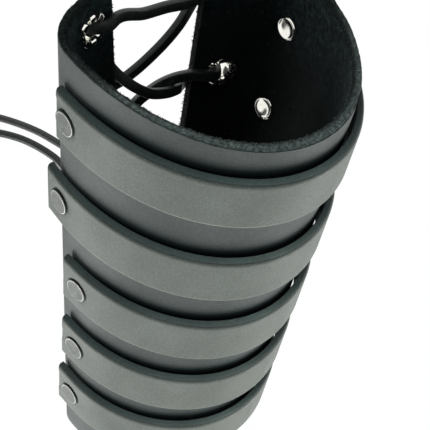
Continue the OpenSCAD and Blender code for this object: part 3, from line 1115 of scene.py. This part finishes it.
# Painted highlight and painted shade for the rims of the outer caps.
painted_highlight_steel = metal("painted_highlight_steel", (0.4, 0.4, 0.38), (0.26, 0.26, 0.25), 0.3, 0.1)
painted_shade_steel = metal("painted_shade_steel", (0.035, 0.04, 0.04), (0.02, 0.024, 0.024), 0.35, 0.1)
nickel = metal("bright_nickel", (0.95, 0.94, 0.87), (0.88, 0.87, 0.8), 0.04, 0.05)
petal_nickel = metal("petal_nickel", (1, 0.99, 0.94), (0.86, 0.85, 0.8), 0.38, 0.15)
print("metals:", [m.name for m in (gunmetal, painted_highlight_steel, painted_shade_steel, nickel, petal_nickel)])

# %% Turn a profile
METAL_SHARP = 40


def turned(name, profile, steps):
    """Spin a profile of (radius, height) points in mm about the Z axis."""
    corners = [(r * MM, 0, z * MM) for r, z in profile]
    sides = [(i, i + 1) for i in range(len(profile) - 1)]
    mesh = bpy.data.meshes.new(name)
    mesh.from_pydata(corners, sides, [])
    piece = bpy.data.objects.new(name, mesh)
    bpy.context.scene.collection.objects.link(piece)
    spin = piece.modifiers.new("spin", "SCREW")
    spin.steps = steps
    spin.render_steps = steps
    spin.use_merge_vertices = True
    spin.merge_threshold = 0.01 * MM
    apply_all(piece)
    outwards_and_smooth(piece, METAL_SHARP)
    return piece


def copy_at(model, name, matrix, materials, cad_node):
    """A copy of a model, with the place worked into its mesh, that rides on the body."""
    piece = model.copy()
    piece.data = model.data.copy()
    piece.name = name
    bpy.context.scene.collection.objects.link(piece)
    piece.data.transform(matrix)
    for material in materials:
        piece.data.materials.append(material)
    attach(piece, "body")
    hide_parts(cad_node)


def put_away(model):
    only(model)
    bpy.ops.object.delete()


# %% The two caps of a rivet
CAP_R = 4.8
CAP_STEPS = 48
POST_R = 1.6
POST_GRIP = 1.2
INNER_SEAT = -HALF_LEATHER - HOLE_CLEAR
CAP_SEAT = HALF_LEATHER + BAND_RUN + BAND_T + BAND_RUN - DENT
POST_FOOT = INNER_SEAT - POST_GRIP - CAP_SEAT
# The ring of the cap's rim that takes the painted highlight.
HIGHLIGHT_RING = (4.1, 4.42)
outer_cap = turned("outer_cap", (
    (0, 0.55), (2.4, 0.55), (3.6, 0.56), (3.9, 0.58), (HIGHLIGHT_RING[0], 0.6), (4.28, 0.58),
    (HIGHLIGHT_RING[1], 0.52), (4.65, 0.4), (CAP_R, 0.24), (4.7, 0.1), (4.45, 0.02), (POST_R, 0),
    (POST_R, POST_FOOT), (0, POST_FOOT),
), CAP_STEPS)
# The cap's rim has a narrow ring painted bright, a painted highlight, and is painted dark outside it,
# a painted shade.
for polygon in outer_cap.data.polygons:
    radius = polygon.center.xy.length / MM
    if radius > HIGHLIGHT_RING[0] and polygon.center.z > 0.1 * MM:
        polygon.material_index = 1 if radius < HIGHLIGHT_RING[1] else 2
inner_cap = turned("inner_cap", (
    (0, -1.6), (0.9, -1.602), (1.8, -1.61), (2.7, -1.635), (3.3, -1.68), (3.7, -1.74), (4.0, -1.74),
    (4.25, -1.6), (4.42, -1.3), (4.48, -0.9), (4.4, -0.4), (4.2, 0), (0, 0),
), CAP_STEPS)
print("faces of the caps:", [len(cap.data.polygons) for cap in (outer_cap, inner_cap)])

# %% [markdown]
# The inner caps mirror the white background. Each is set a few degrees askew, and these angles were
# chosen by trial, so that the glints come near those in the photograph.

# %% Set the rivets
CAP_LEANS = (-4, -4.5, -6, -5, -6)
CAP_TIPS = (4, 11, 5, 6, 5)
random.seed(11)
for side, sign in SIDES.items():
    for k in ROWS:
        place = rivet_matrix(sign, k)
        seat = CAP_SEAT + BAND_LIFT * facing(RIVET_TURNS[k])
        twist = Matrix.Rotation(random.uniform(0, math.tau), 4, "Z")
        end = f"{side}_{k + 1}"
        copy_at(
            outer_cap, "cap_outer_" + end, place @ Matrix.Translation((0, 0, seat * MM)) @ twist,
            (gunmetal, painted_highlight_steel, painted_shade_steel), "rivet_" + end,
        )
        lean = Matrix.Rotation(math.radians(CAP_LEANS[k]) * sign, 4, "X")
        lean @= Matrix.Rotation(math.radians(CAP_TIPS[k]), 4, "Y")
        copy_at(
            inner_cap, "cap_inner_" + end,
            place @ Matrix.Translation((0, 0, INNER_SEAT * MM)) @ lean @ twist,
            (nickel,), "rivet_cap_" + end,
        )
put_away(outer_cap)
put_away(inner_cap)
print("rivets made:", 2 * len(ROWS))

# %% [markdown]
# ## Eyelets
# The barrel of each eyelet goes through the leather, and the setting tool has split its end into
# petals that curl over the flesh side. No petal curls quite like the next.

# %% One petal
PETALS = 8
PETAL_R = 1.35
PETAL_T = 0.32
PETAL_ROUND = 0.08
PETAL_SPREAD = 1.05
PETAL_TAPER = 0.45
PETAL_CLEAR = 0.35
ASKEW = (-3, 3)
CURL = (112, 150)
SPAN = (16, 20)
random.seed(5)


def petal(angle, curl, span):
    """A small grid that is bent over by curl and narrows towards its tip, all in degrees."""
    bpy.ops.object.select_all(action="DESELECT")
    bpy.ops.mesh.primitive_grid_add(x_subdivisions=4, y_subdivisions=8, size=2)
    piece = bpy.context.object
    for vertex in piece.data.vertices:
        share = (vertex.co.y + 1) / 2
        bend = math.radians(curl) * share
        radius = BORE / 2 + PETAL_R * (1 - math.cos(bend)) * PETAL_SPREAD
        across = math.radians(angle + span * vertex.co.x * (1 - PETAL_TAPER * share**2))
        z = -HALF_LEATHER - PETAL_CLEAR - PETAL_R * math.sin(bend)
        vertex.co = Vector((radius * math.cos(across), radius * math.sin(across), z)) * MM
    wall = piece.modifiers.new("wall", "SOLIDIFY")
    wall.thickness = PETAL_T * MM
    wall.offset = 1
    edges = piece.modifiers.new("edges", "BEVEL")
    edges.width = PETAL_ROUND * MM
    edges.segments = 2
    apply_all(piece)
    outwards_and_smooth(piece, METAL_SHARP)
    return piece


# %% Eyelets
EYELET_STEPS = 40
eyelet = turned("eyelet", (
    (BARREL_R, -2.0), (BARREL_R, 1.72), (5.2, 1.78), (5.9, 1.72), (6.15, 1.95), (6.2, 2.3),
    (6.0, 2.68), (5.5, 2.86), (4.9, 2.88), (4.3, 2.74), (3.85, 2.4), (3.58, 1.9), (BORE / 2, 1.3),
    (BORE / 2, -2.05), (BARREL_R, -2.0),
), EYELET_STEPS)
petals = []
for n in range(PETALS):
    angle = 360 * n / PETALS + random.uniform(*ASKEW)
    petals.append(petal(angle, random.uniform(*CURL), random.uniform(*SPAN)))
# The petals take the second of the eyelet's two materials.
for piece in petals:
    for polygon in piece.data.polygons:
        polygon.material_index = 1
bpy.ops.object.select_all(action="DESELECT")
for piece in petals + [eyelet]:
    piece.select_set(True)
bpy.context.view_layer.objects.active = eyelet
bpy.ops.object.join()
print("one eyelet:", len(eyelet.data.polygons), "faces")
for side, sign in SIDES.items():
    for k in ROWS:
        twist = Matrix.Rotation(random.uniform(0, math.tau), 4, "Z")
        end = f"{side}_{k + 1}"
        copy_at(
            eyelet, "eyelet_metal_" + end, eyelet_matrix(sign, k) @ twist,
            (nickel, petal_nickel), "eyelet_" + end,
        )
put_away(eyelet)
print("eyelets made:", 2 * len(ROWS))

# %% [markdown]
# ## Fuzz on the cut edges
# The cut edges shed short fibres. Each is a thin spike with three sides, and one mesh holds those of
# an edge. Their roots are spread at random with a fixed seed, for the rim mostly on its inner half.

# %% Grow fibres from a list of roots
FIBRE_THICK = (0.08, 0.24)
FIBRE_LONG = (0.3, 0.95)


def random_way():
    return np.array([random.gauss(0, 1) for _ in range(3)]) + 1e-6


def fibres(name, roots, material):
    """Each root is a place, a way to grow, a length, and a place along the rim for its colour."""
    verts = []
    faces = []
    places = []
    for place, way, length, share in roots:
        places += [share] * 4
        way = unit(way)
        side = unit(np.cross(way, random_way()))
        third = np.cross(way, side)
        thick = random.uniform(*FIBRE_THICK)
        first = len(verts)
        for j in range(3):
            a = math.tau * j / 3
            verts.append(place + (side * math.cos(a) + third * math.sin(a)) * thick)
        verts.append(place + way * length)
        corners = ((0, 1, 3), (1, 2, 3), (2, 0, 3), (2, 1, 0))
        faces += [tuple(first + corner for corner in face) for face in corners]
    mesh = bpy.data.meshes.new(name)
    mesh.from_pydata([tuple(v * MM) for v in verts], [], faces)
    mesh.materials.append(material)
    mesh.attributes.new("along", "FLOAT", "POINT").data.foreach_set("value", places)
    piece = bpy.data.objects.new(name, mesh)
    bpy.context.scene.collection.objects.link(piece)
    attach(piece, "body")
    print(name, len(roots), "fibres")


# %% Fibres of the rim
ON_RIM = 5200
RIM_SINK = 0.15
SCATTER = 0.45
random.seed(3)
end_turn = flap_turn(BODY_H)
rim_roots = []
for _ in range(ON_RIM):
    turn = random.uniform(-end_turn, end_turn)
    off = random.choice((-1, -1, -1, 0)) * HALF_LEATHER + random.uniform(0.1, 1.2)
    n = np.array((*outwards(turn, BODY_H), 0))
    outer_share = (off + HALF_LEATHER) / LEATHER
    front = facing(turn) ** 3
    slope = EDGE_SLOPE * front * outer_share + SIDE_SLOPE * (1 - front) * (1 - outer_share)
    place = skin(turn, BODY_H - RIM_SINK - slope - FRONT_DROP * facing(turn), off)
    way = UP * random.uniform(0.2, 1) - n * random.uniform(-0.1, 1.1) + random_way() * SCATTER
    rim_roots.append((place, way, random.uniform(*FIBRE_LONG), turn / end_turn))
print("fibres wanted on the rim:", len(rim_roots))

# %% Fibres of the flaps
ON_FLAPS = 2600
FLAP_SCATTER = 0.5
SHY = 0.2
flap_roots = []
for _ in range(ON_FLAPS):
    h = random.uniform(2, BODY_H - 1)
    sign = random.choice((-1, 1))
    turn = sign * flap_turn(h)
    towards = unit(skin(turn, h, 0) - skin(turn - sign, h, 0))
    place = skin(turn, h, random.uniform(-1, 1) * (HALF_LEATHER - SHY)) - towards * 0.1
    way = towards + random_way() * FLAP_SCATTER
    flap_roots.append((place, way, random.uniform(*FIBRE_LONG), 0))
fibres("rim_fibres", rim_roots, rim_edge)
fibres("flap_fibres", flap_roots, flap_edge)

# %% [markdown]
# ## The lace's leather
# The lace is dyed through, so it is nearly black, with a smoother face that takes a little light.

# %% Finish the lace
lace_black, tree = new_material("lace_black")
at = coordinates(tree)
colour = tones(
    tree, noise(tree, at, 500, 4, 0.7),
    (0.35, (0.003, 0.004, 0.004)), (0.7, (0.028, 0.034, 0.033)),
)
values = {"Roughness": 0.5, "Specular IOR Level": 0.3}
finish_skin(tree, colour, noise(tree, at, 900, 4, 0.7), None, 0.3, 0.8, **values)
for piece in lace_pieces:
    piece.data.materials.append(lace_black)
print("dyed:", [piece.name for piece in lace_pieces])
